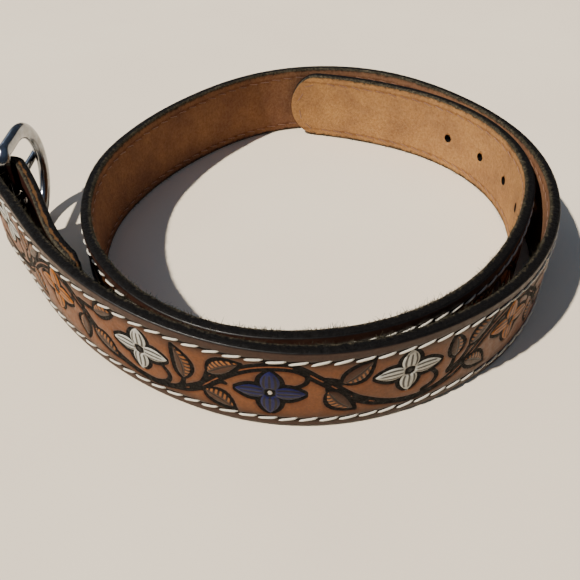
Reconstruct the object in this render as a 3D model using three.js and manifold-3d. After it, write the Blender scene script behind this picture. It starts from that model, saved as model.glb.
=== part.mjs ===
// A tooled leather belt standing on its edge in a coil of one turn and three quarters.
// Its buckle end leads out of the coil and is raised a little by the buckle's frame.
// Millimetres, +Z up. The origin is at the bottom centre of the whole belt.
import * as THREE from 'three';
import { mergeVertices } from 'three/addons/utils/BufferGeometryUtils.js';
import Module from 'manifold-3d';

const wasm = await Module();
wasm.setup();

// Strap
const strapWidth = 38;
const strapThickness = 4.4;
const edgeBevel = 0.7;
const tipLength = 16;

// Turn-back: the strap's end, folded round the bar and laid against the strap
const turnBackLength = 80;
const turnBackEndThickness = 2.4;
const turnBackClosing = 72;
const plyGap = 0.4;
const foldSlack = 1.2;

// Holes for the tongue, counted from the tip; their row lies a little below the strap's middle
const holeDiameter = 4.6;
const holePitch = 25.4;
const holeCount = 5;
const tipToFirstHole = 99.5;
const holeDrop = 1;

// Coil
const coilRadius = 120;
const turnGap = 8;
const liftLength = 210;
const liftLevel = 10;

// Buckle frame
const barDiameter = 6;
const limbWidth = 7.5;
const limbThickness = 4.8;
const limbClearance = 0.75;
const limbStraight = 12.5;
const frameReach = 41.3;
const frameSwing = THREE.MathUtils.degToRad(-32);

// Tongue
const tongueWidth = 5;
const tongueThickness = 2.6;
const tongueOverhang = 3;
const hookWall = 2;
const runningGap = 0.3;
const slotClearance = 0.7;

// Fineness of the meshes
const stationStep = 6;
const foldStations = 14;
const tipStations = 8;
const frameStations = 96;
const frameSides = 12;
const holeSides = 20;

// The coil's outline, seen from above: the outer face's distance from the coil's centre,
// as a share of coilRadius, against the angle in degrees, counter-clockwise from +X.
// It starts at the buckle's bar and goes once round.
const OUTER_TURN = [
  { turn: 185.6, radius: 1.236 },
  { turn: 195, radius: 1.145 },
  { turn: 205, radius: 1.089 },
  { turn: 220, radius: 1.042 },
  { turn: 235, radius: 1.017 },
  { turn: 250, radius: 1.004 },
  { turn: 265, radius: 0.99 },
  { turn: 280, radius: 0.961 },
  { turn: 295, radius: 0.93 },
  { turn: 310, radius: 0.908 },
  { turn: 325, radius: 0.889 },
  { turn: 340, radius: 0.88 },
  { turn: 355, radius: 0.881 },
  { turn: 370, radius: 0.891 },
  { turn: 385, radius: 0.906 },
  { turn: 400, radius: 0.926 },
  { turn: 415, radius: 0.96 },
  { turn: 430, radius: 0.997 },
  { turn: 445, radius: 1.004 },
  { turn: 460, radius: 0.978 },
  { turn: 475, radius: 0.929 },
  { turn: 490, radius: 0.881 },
  { turn: 505, radius: 0.858 },
  { turn: 520, radius: 0.858 },
  { turn: 535, radius: 0.875 },
];

// The second turn lies inside the first: the gap between them, as a share of turnGap.
const INNER_TURN = [
  { turn: 550, gap: 3.93 },
  { turn: 565, gap: 2.06 },
  { turn: 580, gap: 1.05 },
  { turn: 595, gap: 0.42 },
  { turn: 610, gap: 0.21 },
  { turn: 625, gap: 0.38 },
  { turn: 640, gap: 0.48 },
  { turn: 655, gap: 0.62 },
  { turn: 670, gap: 0.88 },
  { turn: 685, gap: 0.99 },
  { turn: 700, gap: 0.9 },
  { turn: 715, gap: 0.6 },
  { turn: 730, gap: 0.38 },
  { turn: 745, gap: 0.31 },
  { turn: 760, gap: 0.44 },
  { turn: 775, gap: 0.88 },
  { turn: 790, gap: 1.33 },
  { turn: 803, gap: 1.1 },
  { turn: 817, gap: 0.2 },
];

// Sizes that follow from the ones above
const barRadius = barDiameter / 2;
const frameHalfHeight = strapWidth / 2 + limbClearance + limbWidth / 2;
const buckleMiddle = frameHalfHeight + limbWidth / 2;
const liftAtBar = buckleMiddle - strapWidth / 2;
const foldRadius = barRadius + foldSlack + strapThickness / 2;
const hookRadius = barRadius + runningGap + hookWall;

// Natural cubic spline through the points (xs, ys), as a function of x.
function naturalSpline(xs, ys) {
  const last = xs.length - 1;
  const bend = new Array(last + 1).fill(0);
  const carry = new Array(last + 1).fill(0);
  for (let i = 1; i < last; i++) {
    const span = xs[i + 1] - xs[i - 1];
    const share = (xs[i] - xs[i - 1]) / span;
    const pivot = share * bend[i - 1] + 2;
    const rise = (ys[i + 1] - ys[i]) / (xs[i + 1] - xs[i]) - (ys[i] - ys[i - 1]) / (xs[i] - xs[i - 1]);
    bend[i] = (share - 1) / pivot;
    carry[i] = (6 * rise / span - share * carry[i - 1]) / pivot;
  }
  bend[last] = 0;
  for (let i = last - 1; i >= 0; i--) {
    bend[i] = bend[i] * bend[i + 1] + carry[i];
  }
  return (x) => {
    let k = 1;
    while (k < last && xs[k] < x) k++;
    const h = xs[k] - xs[k - 1];
    const a = (xs[k] - x) / h;
    const b = 1 - a;
    return a * ys[k - 1] + b * ys[k]
      + ((a ** 3 - a) * bend[k - 1] + (b ** 3 - b) * bend[k]) * h * h / 6;
  };
}

// The strap's middle line from the bar to the tip, seen from above.
function coilCurve() {
  const outerTurns = OUTER_TURN.map((row) => row.turn);
  const outerFace = OUTER_TURN.map((row) => row.radius * coilRadius);
  const firstTurn = naturalSpline(outerTurns, outerFace);
  const innerTurns = INNER_TURN.map((row) => row.turn);
  const innerFace = INNER_TURN.map((row) => firstTurn(row.turn - 360) - strapThickness - row.gap * turnGap);
  const outline = naturalSpline([...outerTurns, ...innerTurns], [...outerFace, ...innerFace]);
  const start = outerTurns[0];
  const end = innerTurns[innerTurns.length - 1];
  const points = [];
  const count = Math.round((end - start) / 4);
  for (let i = 0; i <= count; i++) {
    const turn = start + (end - start) * i / count;
    const radius = outline(turn) - strapThickness / 2;
    const angle = THREE.MathUtils.degToRad(turn);
    points.push(new THREE.Vector2(radius * Math.cos(angle), radius * Math.sin(angle)));
  }
  const curve = new THREE.SplineCurve(points);
  curve.arcLengthDivisions = 4000;
  return curve;
}

const coil = coilCurve();
const coilLength = coil.getLength();

// A point of the strap's middle line, its direction and its side towards the coil's middle.
function along(distance) {
  const share = THREE.MathUtils.clamp(distance / coilLength, 0, 1);
  const point = coil.getPointAt(share);
  const forward = coil.getTangentAt(share);
  const inward = new THREE.Vector2(-forward.y, forward.x);
  return { point, forward, inward };
}

// How far the strap is raised, against the distance from the bar.
function liftAt(distance) {
  const share = THREE.MathUtils.clamp((distance - liftLevel) / (liftLength - liftLevel), 0, 1);
  return liftAtBar * (1 - share) ** 2;
}

// The middle of the buckle's bar, seen from above.
function barPlace() {
  const { point, inward } = along(0);
  return point.clone().addScaledVector(inward, foldRadius);
}

// Closed mesh through rings of as many points each, capped at both ends or joined end to end.
function skinRings(rings, closed) {
  const sides = rings[0].length;
  const positions = rings.flat().flatMap((p) => [p.x, p.y, p.z]);
  const index = [];
  const steps = closed ? rings.length : rings.length - 1;
  for (let i = 0; i < steps; i++) {
    const here = i * sides;
    const next = ((i + 1) % rings.length) * sides;
    for (let j = 0; j < sides; j++) {
      const k = (j + 1) % sides;
      index.push(here + j, next + k, here + k, here + j, next + j, next + k);
    }
  }
  if (!closed) {
    const end = (rings.length - 1) * sides;
    for (let j = 1; j < sides - 1; j++) {
      index.push(0, j, j + 1, end, end + j + 1, end + j);
    }
  }
  const geometry = new THREE.BufferGeometry();
  geometry.setAttribute('position', new THREE.Float32BufferAttribute(positions, 3));
  geometry.setIndex(index);
  geometry.computeVertexNormals();
  return geometry;
}

// three.js mesh to manifold-3d solid and back.
function toSolid(geometry) {
  const bare = geometry.clone();
  bare.deleteAttribute('normal');
  bare.deleteAttribute('uv');
  const merged = mergeVertices(bare, 1e-5);
  return new wasm.Manifold(new wasm.Mesh({
    numProp: 3,
    vertProperties: new Float32Array(merged.attributes.position.array),
    triVerts: new Uint32Array(merged.index.array),
  }));
}

function toGeometry(solid) {
  const mesh = solid.getMesh();
  const geometry = new THREE.BufferGeometry();
  geometry.setAttribute('position', new THREE.Float32BufferAttribute(mesh.vertProperties, 3));
  geometry.setIndex(new THREE.Uint32BufferAttribute(mesh.triVerts, 1));
  geometry.computeVertexNormals();
  return geometry;
}

// Stations of the turn-back, from its end to the bar.
function turnBackStations() {
  const stations = [];
  const count = Math.ceil(turnBackLength / stationStep);
  for (let i = 0; i < count; i++) {
    const distance = turnBackLength * (1 - i / count);
    const thin = THREE.MathUtils.smoothstep(distance, turnBackClosing, turnBackLength);
    const thickness = THREE.MathUtils.lerp(strapThickness, turnBackEndThickness, thin);
    const closed = (strapThickness + thickness) / 2 + plyGap;
    const offset = THREE.MathUtils.lerp(
      2 * foldRadius, closed, THREE.MathUtils.smoothstep(distance, 0, turnBackClosing));
    const { point, inward } = along(distance);
    stations.push({
      point: point.clone().addScaledVector(inward, offset),
      lift: liftAt(distance), thickness, fullness: 1,
    });
  }
  return stations;
}

// Stations of the fold: half a turn round the bar, from the turn-back to the strap.
function foldArcStations() {
  const { inward, forward } = along(0);
  const centre = barPlace();
  const stations = [];
  for (let i = 0; i < foldStations; i++) {
    const angle = Math.PI * i / foldStations;
    const point = centre.clone()
      .addScaledVector(inward, foldRadius * Math.cos(angle))
      .addScaledVector(forward, -foldRadius * Math.sin(angle));
    stations.push({ point, lift: liftAtBar, thickness: strapThickness, fullness: 1 });
  }
  return stations;
}

// Stations of the strap from the bar to the tip, whose end is half an ellipse.
function strapStations() {
  const distances = [];
  const plain = coilLength - tipLength;
  const count = Math.ceil(plain / stationStep);
  for (let i = 0; i < count; i++) distances.push(plain * i / count);
  for (let i = 0; i <= tipStations; i++) {
    distances.push(plain + tipLength * Math.sin(i / (tipStations + 0.5) * Math.PI / 2));
  }
  return distances.map((distance) => {
    const share = Math.max(0, distance - plain) / tipLength;
    return {
      point: along(distance).point,
      lift: liftAt(distance), thickness: strapThickness, fullness: Math.sqrt(1 - share * share),
    };
  });
}

// Section of the strap at a station: a flat bar with its four long edges bevelled.
function strapRing(station, forward) {
  const outward = new THREE.Vector2(forward.y, -forward.x);
  const half = station.thickness / 2;
  const height = station.fullness * strapWidth / 2;
  const bevel = Math.min(edgeBevel, half / 2, height / 2);
  const middle = strapWidth / 2 + station.lift;
  const corners = [
    [half, bevel - height], [half, height - bevel], [half - bevel, height], [bevel - half, height],
    [-half, height - bevel], [-half, bevel - height], [bevel - half, -height], [half - bevel, -height],
  ];
  return corners.map(([side, up]) => new THREE.Vector3(
    station.point.x + outward.x * side, station.point.y + outward.y * side, middle + up));
}

// The holes for the tongue: round cutters through the strap near its tip.
function holeCutters() {
  const cutters = [];
  for (let i = 0; i < holeCount; i++) {
    const distance = coilLength - tipToFirstHole - i * holePitch;
    const { point, inward } = along(distance);
    const cutter = new THREE.CylinderGeometry(holeDiameter / 2, holeDiameter / 2, 2 * strapThickness, holeSides);
    cutter.rotateZ(Math.PI / 2);
    cutter.rotateZ(Math.atan2(inward.y, inward.x));
    cutter.translate(point.x, point.y, strapWidth / 2 - holeDrop + liftAt(distance));
    cutters.push(toSolid(cutter));
  }
  return cutters;
}

// The slot that lets the tongue out of the fold, cut through both plies and round the fold's end.
function slotCutter() {
  const { forward } = along(0);
  const centre = barPlace();
  const back = hookRadius + slotClearance;
  const front = foldRadius + strapThickness;
  const across = 2 * (foldRadius + strapThickness);
  const cutter = new THREE.BoxGeometry(back + front, across, tongueWidth + 2 * slotClearance);
  cutter.translate((front - back) / 2, 0, 0);
  cutter.rotateZ(Math.atan2(-forward.y, -forward.x));
  cutter.translate(centre.x, centre.y, buckleMiddle);
  return toSolid(cutter);
}

function strapGeometry() {
  const stations = [...turnBackStations(), ...foldArcStations(), ...strapStations()];
  const last = stations.length - 1;
  const rings = stations.map((station, i) => {
    const before = stations[Math.max(i - 1, 0)].point;
    const after = stations[Math.min(i + 1, last)].point;
    return strapRing(station, after.clone().sub(before).normalize());
  });
  let solid = toSolid(skinRings(rings, false));
  for (const cutter of [...holeCutters(), slotCutter()]) solid = solid.subtract(cutter);
  return toGeometry(solid);
}

// The frame's middle line, in its own plane: x from the bar to the bow, y along the bar.
function framePath() {
  const corner = frameHalfHeight - strapWidth / 2;
  const bowStart = corner + limbStraight;
  const path = new THREE.Path();
  path.moveTo(0, -strapWidth / 2);
  path.lineTo(0, strapWidth / 2);
  path.absarc(corner, strapWidth / 2, corner, Math.PI, Math.PI / 2, true);
  path.lineTo(bowStart, frameHalfHeight);
  path.absellipse(bowStart, 0, frameReach - bowStart, frameHalfHeight, Math.PI / 2, -Math.PI / 2, true);
  path.lineTo(corner, -frameHalfHeight);
  path.absarc(corner, -strapWidth / 2, corner, -Math.PI / 2, -Math.PI, true);
  return path;
}

// The frame: one closed loop, a round bar at the strap and a flat oval limb everywhere else.
function frameGeometry() {
  const path = framePath();
  const corner = frameHalfHeight - strapWidth / 2;
  const rings = [];
  for (let i = 0; i < frameStations; i++) {
    const share = i / frameStations;
    const point = path.getPointAt(share);
    const forward = path.getTangentAt(share);
    const limb = THREE.MathUtils.smoothstep(point.x, 0, corner);
    const wide = THREE.MathUtils.lerp(barRadius, limbWidth / 2, limb);
    const thick = THREE.MathUtils.lerp(barRadius, limbThickness / 2, limb);
    const ring = [];
    for (let j = 0; j < frameSides; j++) {
      const angle = 2 * Math.PI * j / frameSides;
      const side = wide * Math.cos(angle);
      ring.push(new THREE.Vector3(
        point.x - forward.y * side, thick * Math.sin(angle), point.y + forward.x * side));
    }
    rings.push(ring);
  }
  return skinRings(rings, true);
}

// The tongue: a hook round the bar and a flat shank that rests on the bow's outer side.
function tongueGeometry() {
  const under = limbThickness / 2 + runningGap;
  const over = under + tongueThickness;
  const end = frameReach + tongueOverhang;
  const meet = Math.asin((hookRadius - tongueThickness) / hookRadius);
  const shape = new THREE.Shape();
  shape.absarc(0, 0, hookRadius, Math.PI / 2, 2 * Math.PI + meet, false);
  shape.lineTo(frameReach - limbWidth / 2, under);
  shape.lineTo(end, under);
  shape.quadraticCurveTo(end + tongueThickness / 2, (under + over) / 2, end, over);
  const hook = new THREE.Path();
  hook.absarc(0, 0, barRadius + runningGap, 0, 2 * Math.PI, true);
  shape.holes.push(hook);
  const geometry = new THREE.ExtrudeGeometry(shape, {
    depth: tongueWidth, bevelEnabled: false, curveSegments: 24,
  });
  geometry.translate(0, 0, -tongueWidth / 2);
  return geometry;
}

function namedMesh(name, geometry, material) {
  const mesh = new THREE.Mesh(geometry, material);
  mesh.name = name;
  return mesh;
}

const leather = new THREE.MeshStandardMaterial({ color: 0x8f5f36, roughness: 0.65, metalness: 0 });
const chrome = new THREE.MeshStandardMaterial({ color: 0xc9cacd, roughness: 0.15, metalness: 1 });

const belt = new THREE.Group();
belt.add(namedMesh('strap', strapGeometry(), leather));

const buckle = new THREE.Group();
buckle.add(namedMesh('buckle_frame', frameGeometry(), chrome));
buckle.add(namedMesh('tongue', tongueGeometry(), chrome));
const towardsBuckle = along(0).forward.clone().negate();
buckle.rotation.z = towardsBuckle.angle() + frameSwing;
buckle.position.set(barPlace().x, barPlace().y, buckleMiddle);
belt.add(buckle);

// The whole belt's bottom centre becomes the origin.
belt.updateMatrixWorld(true);
const box = new THREE.Box3().setFromObject(belt, true);
const centre = box.getCenter(new THREE.Vector3());
belt.position.set(-centre.x, -centre.y, -box.min.z);

export default belt;
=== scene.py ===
"""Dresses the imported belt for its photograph.

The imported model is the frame: a leather strap standing on its edge in a coil, and a metal
buckle hinged in the strap's fold. This script gives the strap its tooled and dyed outer face,
its suede back, its dyed edges and its stitches, gives the buckle its polish, and adds the
floor, the light and the camera. Sizes are in millimetres and are turned into metres where a
mesh is made.
"""

from __future__ import annotations

import logging
import math
from dataclasses import dataclass, field
from enum import Enum
from functools import partial
from typing import Callable

import bpy
import numpy as np
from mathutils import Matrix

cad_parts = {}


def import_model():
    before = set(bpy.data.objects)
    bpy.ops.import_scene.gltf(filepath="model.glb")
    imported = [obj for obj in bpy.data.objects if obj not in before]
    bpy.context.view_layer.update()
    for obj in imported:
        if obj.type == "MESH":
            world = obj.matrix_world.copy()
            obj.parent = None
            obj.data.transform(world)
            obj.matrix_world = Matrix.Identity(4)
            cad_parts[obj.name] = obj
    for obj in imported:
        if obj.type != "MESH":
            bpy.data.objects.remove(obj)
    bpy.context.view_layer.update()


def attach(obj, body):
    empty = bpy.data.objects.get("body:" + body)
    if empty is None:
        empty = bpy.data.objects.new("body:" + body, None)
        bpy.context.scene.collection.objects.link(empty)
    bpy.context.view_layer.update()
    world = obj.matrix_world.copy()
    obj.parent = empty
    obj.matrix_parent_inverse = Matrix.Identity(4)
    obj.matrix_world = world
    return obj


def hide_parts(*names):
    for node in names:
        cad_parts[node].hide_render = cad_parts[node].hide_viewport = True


LOG = logging.getLogger("belt")

Array = np.ndarray


class Body(str, Enum):
    """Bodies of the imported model."""

    STRAP = "strap"
    BUCKLE = "buckle"


class Slot(str, Enum):
    """Material slots of the record."""

    LEATHER = "leather"
    CHROME = "chrome"


class Side(Enum):
    """The strap's two faces, as the sign of the way out of the strap's middle."""

    GRAIN = 1.0
    FLESH = -1.0


# Colours and small numeric helpers


def linear(code: str) -> tuple[float, float, float, float]:
    """Turn an sRGB hex colour into linear light.

    Args:
        code: Colour such as "#8f5f36".

    Returns:
        Red, green, blue and alpha in linear light.
    """
    digits = code.lstrip("#")
    channels = [int(digits[i : i + 2], 16) / 255.0 for i in (0, 2, 4)]
    light = [c / 12.92 if c <= 0.04045 else ((c + 0.055) / 1.055) ** 2.4 for c in channels]
    return light[0], light[1], light[2], 1.0


def rgb(code: str) -> Array:
    """Give a hex colour's linear red, green and blue as an array."""
    return np.array(linear(code)[:3])


def ramp(low: float, high: float, value: Array) -> Array:
    """Rise smoothly from 0 at low to 1 at high, as three squares less two cubes.

    Args:
        low: Value where the rise starts. It may be the greater of the two.
        high: Value where the rise ends.
        value: Numbers to map.

    Returns:
        Array of numbers from 0 to 1.
    """
    share = np.clip((value - low) / (high - low), 0.0, 1.0)
    return share * share * (3.0 - 2.0 * share)


def natural_spline(xs: Array, ys: Array) -> Callable[[Array], Array]:
    """Make the natural cubic spline through some points.

    The bends at the inner points solve the usual three-term equations, and both ends are
    straight.

    Args:
        xs: Rising places.
        ys: Values there.

    Returns:
        Function from places to values.
    """
    steps = np.diff(xs)
    count = len(xs)
    matrix = np.eye(count)
    right = np.zeros(count)
    for i in range(1, count - 1):
        matrix[i, i - 1 : i + 2] = steps[i - 1], 2.0 * (steps[i - 1] + steps[i]), steps[i]
        right[i] = 6.0 * ((ys[i + 1] - ys[i]) / steps[i] - (ys[i] - ys[i - 1]) / steps[i - 1])
    bends = np.linalg.solve(matrix, right)

    def value(places: Array) -> Array:
        """Mix the two points round each place, plus the share of their bends."""
        k = np.clip(np.searchsorted(xs, places), 1, count - 1)
        h = steps[k - 1]
        a = (xs[k] - places) / h
        b = 1.0 - a
        bend = (a**3 - a) * bends[k - 1] + (b**3 - b) * bends[k]
        return a * ys[k - 1] + b * ys[k] + bend * h * h / 6.0

    return value


# Meshes


def make_object(name: str, points: Array, faces: Array, smooth: bool = True) -> bpy.types.Object:
    """Make an object from points in millimetres and faces of equal length.

    Args:
        name: Object name.
        points: Array of shape (n, 3).
        faces: Array of shape (m, 3) or (m, 4).
        smooth: Whether the faces are shaded smooth.

    Returns:
        Object linked to the scene, at the origin.
    """
    corners = faces.shape[1]
    mesh = bpy.data.meshes.new(name)
    mesh.vertices.add(len(points))
    mesh.vertices.foreach_set("co", (points / 1000.0).astype(np.float32).ravel())
    mesh.loops.add(faces.size)
    mesh.loops.foreach_set("vertex_index", faces.astype(np.int32).ravel())
    mesh.polygons.add(len(faces))
    mesh.polygons.foreach_set("loop_start", np.arange(0, faces.size, corners, dtype=np.int32))
    mesh.polygons.foreach_set("use_smooth", np.full(len(faces), smooth))
    mesh.update(calc_edges=True)
    piece = bpy.data.objects.new(name, mesh)
    bpy.context.scene.collection.objects.link(piece)
    return piece


def grid_faces(rows: int, columns: int, wrap_rows: bool = False, wrap_columns: bool = False) -> Array:
    """List the quads of a grid of points numbered row by row.

    Args:
        rows: Number of rows.
        columns: Number of columns.
        wrap_rows: Whether the last row joins the first.
        wrap_columns: Whether the last column joins the first.

    Returns:
        Array of shape (m, 4), with the normal along row step cross column step.
    """
    i = np.arange(rows if wrap_rows else rows - 1)
    j = np.arange(columns if wrap_columns else columns - 1)
    a, b = np.meshgrid(i, j, indexing="ij")
    a2, b2 = (a + 1) % rows, (b + 1) % columns
    quads = np.stack([a * columns + b, a2 * columns + b, a2 * columns + b2, a * columns + b2], -1)
    return quads.reshape(-1, 4)


def tube_faces(rows: int, columns: int) -> Array:
    """List the quads of a closed tube: a grid round it, and strips across its two end rings.

    Args:
        rows: Number of rings.
        columns: Number of points in a ring, which is even.

    Returns:
        Array of shape (m, 4). The ends face the way that closes the grid.
    """
    pair = np.arange(columns // 2 - 1)
    cap = np.stack([pair, pair + 1, columns - 2 - pair, columns - 1 - pair], 1)
    skin = grid_faces(rows, columns, wrap_columns=True)
    return np.vstack([skin, cap, cap[:, ::-1] + (rows - 1) * columns])


def copies(one: Array, block: int, count: int) -> Array:
    """Repeat a piece's faces for many copies whose points follow one another.

    Args:
        one: Faces of the first copy.
        block: Number of points in a copy.
        count: Number of copies.

    Returns:
        Array of shape (m, 4).
    """
    return (one[None] + (np.arange(count) * block)[:, None, None]).reshape(-1, 4)


def store(piece: bpy.types.Object, name: str, values: Array) -> None:
    """Store a number or a linear colour for each point of a mesh.

    Args:
        piece: Object whose mesh gets the values.
        name: Attribute name.
        values: Array of shape (n,) or (n, 3).
    """
    kind, key = ("FLOAT", "value") if values.ndim == 1 else ("FLOAT_COLOR", "color")
    if key == "color":
        values = np.column_stack([values, np.ones(len(values))])
    layer = piece.data.attributes.new(name, kind, "POINT")
    layer.data.foreach_set(key, values.astype(np.float32).ravel())


def store_uv(piece: bpy.types.Object, name: str, uv: Array) -> None:
    """Store two coordinates for each point of a mesh as a UV map.

    Args:
        piece: Object whose mesh gets the map.
        name: Name of the map.
        uv: Array of shape (n, 2).
    """
    mesh = piece.data
    corners = np.empty(len(mesh.loops), dtype=np.int32)
    mesh.loops.foreach_get("vertex_index", corners)
    layer = mesh.uv_layers.new(name=name)
    layer.data.foreach_set("uv", uv[corners].astype(np.float32).ravel())


# Materials


def add_node(
    tree: bpy.types.NodeTree, kind: str, inputs: dict | tuple = (), out: int | str = 0, **settings
) -> bpy.types.NodeSocket:
    """Add a node, set its properties and fill its inputs.

    Args:
        tree: Node tree that gets the node.
        kind: Node type after "ShaderNode", such as "TexNoise".
        inputs: Values or outputs to read, in order, or by the input's name or number.
        out: Name or number of the wanted output.
        **settings: Properties of the node.

    Returns:
        The wanted output.
    """
    node = tree.nodes.new("ShaderNode" + kind)
    for key, value in settings.items():
        setattr(node, key, value)
    for key, value in inputs.items() if isinstance(inputs, dict) else enumerate(inputs):
        if isinstance(value, bpy.types.NodeSocket):
            tree.links.new(value, node.inputs[key])
        else:
            node.inputs[key].default_value = value
    return node.outputs[out]


@dataclass(frozen=True)
class Finish:
    """Constants of a surface's shader."""

    colour: str
    roughness: float
    metallic: float = 0.0
    sheen: float = 0.0
    specular: float = 0.5


class Surface:
    """A material under construction: its shader, and the patterns that feed it."""

    def __init__(self, name: str, finish: Finish) -> None:
        """Start a material with one shader.

        Args:
            name: Material name.
            finish: Constants that are set on the shader's own sockets.
        """
        self.material = bpy.data.materials.new(name)
        self.material.use_nodes = True
        self.tree = self.material.node_tree
        self.shader = self.tree.nodes["Principled BSDF"]
        self.add = partial(add_node, self.tree)
        self.place = self.add("TexCoord", out="Object")
        sockets = self.shader.inputs
        sockets["Base Color"].default_value = linear(finish.colour)
        sockets["Roughness"].default_value = finish.roughness
        sockets["Metallic"].default_value = finish.metallic
        sockets["Sheen Weight"].default_value = finish.sheen
        sockets["Specular IOR Level"].default_value = finish.specular

    def feed(self, socket: str, output: bpy.types.NodeSocket) -> None:
        """Link an output to the shader's input of that name."""
        self.tree.links.new(output, self.shader.inputs[socket])

    def cloud(
        self, size: float, low: float = 0.0, high: float = 1.0, start: float = 0.0, end: float = 1.0,
        detail: float = 4.0, roughness: float = 0.6,
    ) -> bpy.types.NodeSocket:
        """Make uneven patches: noise fixed to the object, one range of it mapped to another.

        Args:
            size: Size of the largest patches in millimetres.
            low: Noise that becomes start, and under which it is held.
            high: Noise that becomes end.
            start: First result.
            end: Last result.
            detail: Octaves.
            roughness: Weight of the fine octaves.

        Returns:
            The mapped noise.
        """
        inputs = {"Vector": self.place, "Scale": 1000.0 / size, "Detail": detail, "Roughness": roughness}
        noise = self.add("TexNoise", inputs)
        return self.add("MapRange", (noise, low, high, start, end))

    def where(self, *ranges: tuple) -> bpy.types.NodeSocket:
        """Find where all of some values are past their ranges, as a product of straight rises.

        Args:
            *ranges: A value, where its rise from 0 starts, and where it gets to 1.

        Returns:
            The share, from 0 to 1.
        """
        shares = [self.add("MapRange", entry) for entry in ranges]
        product = shares[0]
        for share in shares[1:]:
            product = self.add("Math", (product, share), operation="MULTIPLY")
        return product

    def layer(
        self, under: bpy.types.NodeSocket | str, over: bpy.types.NodeSocket | str,
        share: bpy.types.NodeSocket, strength: float = 1.0, blend: str = "MIX",
    ) -> bpy.types.NodeSocket:
        """Lay one colour over another.

        Args:
            under: Output or hex colour below.
            over: Output or hex colour on top.
            share: Where the upper colour is.
            strength: Factor on that share.
            blend: Way of mixing.

        Returns:
            The mixed colour.
        """
        if strength != 1.0:
            share = self.add("Math", (share, strength), operation="MULTIPLY")
        low, high = (linear(colour) if isinstance(colour, str) else colour for colour in (under, over))
        return self.add("Mix", {0: share, 6: low, 7: high}, 2, data_type="RGBA", blend_type=blend)

    def relief(self, *layers: tuple) -> None:
        """Bend the shading normal by heights, one after the other.

        Args:
            *layers: A height from 0 to 1, the effect's share, and the millimetres that 1 stands for.
        """
        normal = {}
        for height, strength, depth in layers:
            inputs = {"Height": height, "Strength": strength, "Distance": depth / 1000.0}
            normal = {"Normal": self.add("Bump", inputs | normal)}
        self.feed("Normal", normal["Normal"])


def tooled_leather() -> bpy.types.Material:
    """Make the dyed and painted grain side.

    The mesh gives the dye, with painted shade in the stitch grooves, the distance to the
    nearest cut line, and the fields across and along each leaf and petal. A place is black
    where its distance is under nothing, and painted shade, a soft brown, goes 1.7 mm out from
    every line. Three dark veins run along each petal, dark strokes go in from the rim of each
    leaf, and painted highlights lie between those strokes.

    Returns:
        The material.
    """
    # Cowhide tanned with bark, cut with a knife, stamped and dyed by hand: a satin brown with
    # painted shade towards crisp black cuts, with dyes that took unevenly and a fine pore grain.
    hide = Surface("tooled_vegetable_tanned_leather", Finish("#8f5a32", 0.42, specular=0.24))
    # The dye attribute also carries painted shade in the stitch grooves.
    dye = hide.add("Attribute", out="Color", attribute_name="dye")
    names = ("cut", "across", "phase", "kind")
    cut, across, phase, kind = (hide.add("Attribute", out="Fac", attribute_name=name) for name in names)
    # The hand's waver is 0.08 mm in every 1.4 mm of a line.
    cut = hide.add("Math", (cut, hide.cloud(1.4, 0.3, 0.7, -0.08, 0.08, detail=2.0)), operation="ADD")
    off = hide.add("Math", (across,), operation="ABSOLUTE")
    side = hide.add("Math", (hide.add("Math", (off, 0.5), operation="SUBTRACT"),), operation="ABSOLUTE")
    vein = hide.add("Math", (off, side), operation="MINIMUM")
    beat = hide.add("Math", (phase, 0.5), operation="PINGPONG")
    leafy = (kind, 0.55, 0.6), (kind, 1.45, 1.4)
    combed = *leafy, (across, 0.16, 0.3)
    veined = hide.where((vein, 0.13, 0.08), (phase, 0.16, 0.22), (phase, 0.84, 0.76), (kind, 1.55, 1.6))
    strokes = hide.where(*combed, (beat, 0.2, 0.13))
    lit = hide.where(*combed, (beat, 0.2, 0.3), (across, 0.9, 0.75))
    rib = hide.where(*leafy, (off, 0.12, 0.06))
    fine = hide.add("Math", (veined, strokes), operation="MAXIMUM")
    fine = hide.add("Math", (fine, rib), operation="MAXIMUM")
    # Dye pools in patches of about 9 mm, and speckles at the 1 mm between pores.
    pools = hide.cloud(9.1, 0.32, 0.7, detail=5.0)
    speck = hide.cloud(1.0, 0.35, 0.7, detail=3.0)
    # Painted shade: the colour darkens within 1.7 mm of every cut line.
    shade = hide.layer(dye, "#7c563d", hide.where((cut, 1.7, 0.2)), 0.6, "MULTIPLY")
    # Painted highlight: lighter strokes between the dark ones on one side of each leaf.
    shade = hide.layer(shade, "#9c6334", lit, 0.75)
    shade = hide.layer(shade, "#7a5434", pools, 0.4, "MULTIPLY")
    shade = hide.layer(shade, "#7d5a3c", speck, 0.35, "MULTIPLY")
    paint = hide.layer(dye, "#8c8c8c", speck, 0.45, "MULTIPLY")
    shade = hide.layer(shade, paint, hide.where((kind, 1.5, 1.6)))
    shade = hide.layer(shade, "#0f0906", fine, 0.9)
    hide.feed("Base Color", hide.layer(shade, "#060504", hide.where((cut, 0.08, -0.08))))
    hide.feed("Roughness", hide.cloud(2.4, 0.3, 0.7, 0.33, 0.55))
    # Pores are 0.7 mm apart and creases 3.3 mm, and a cut's wall is 0.6 mm wide.
    hide.relief(
        (hide.cloud(0.71, detail=3.0), 0.2, 0.2),
        (hide.cloud(3.3, detail=3.0), 0.2, 0.4),
        (hide.where((cut, -0.3, 0.3)), 0.8, 0.25),
        (hide.add("Math", (1.0, fine), operation="SUBTRACT"), 0.6, 0.12),
    )
    return hide.material


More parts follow.
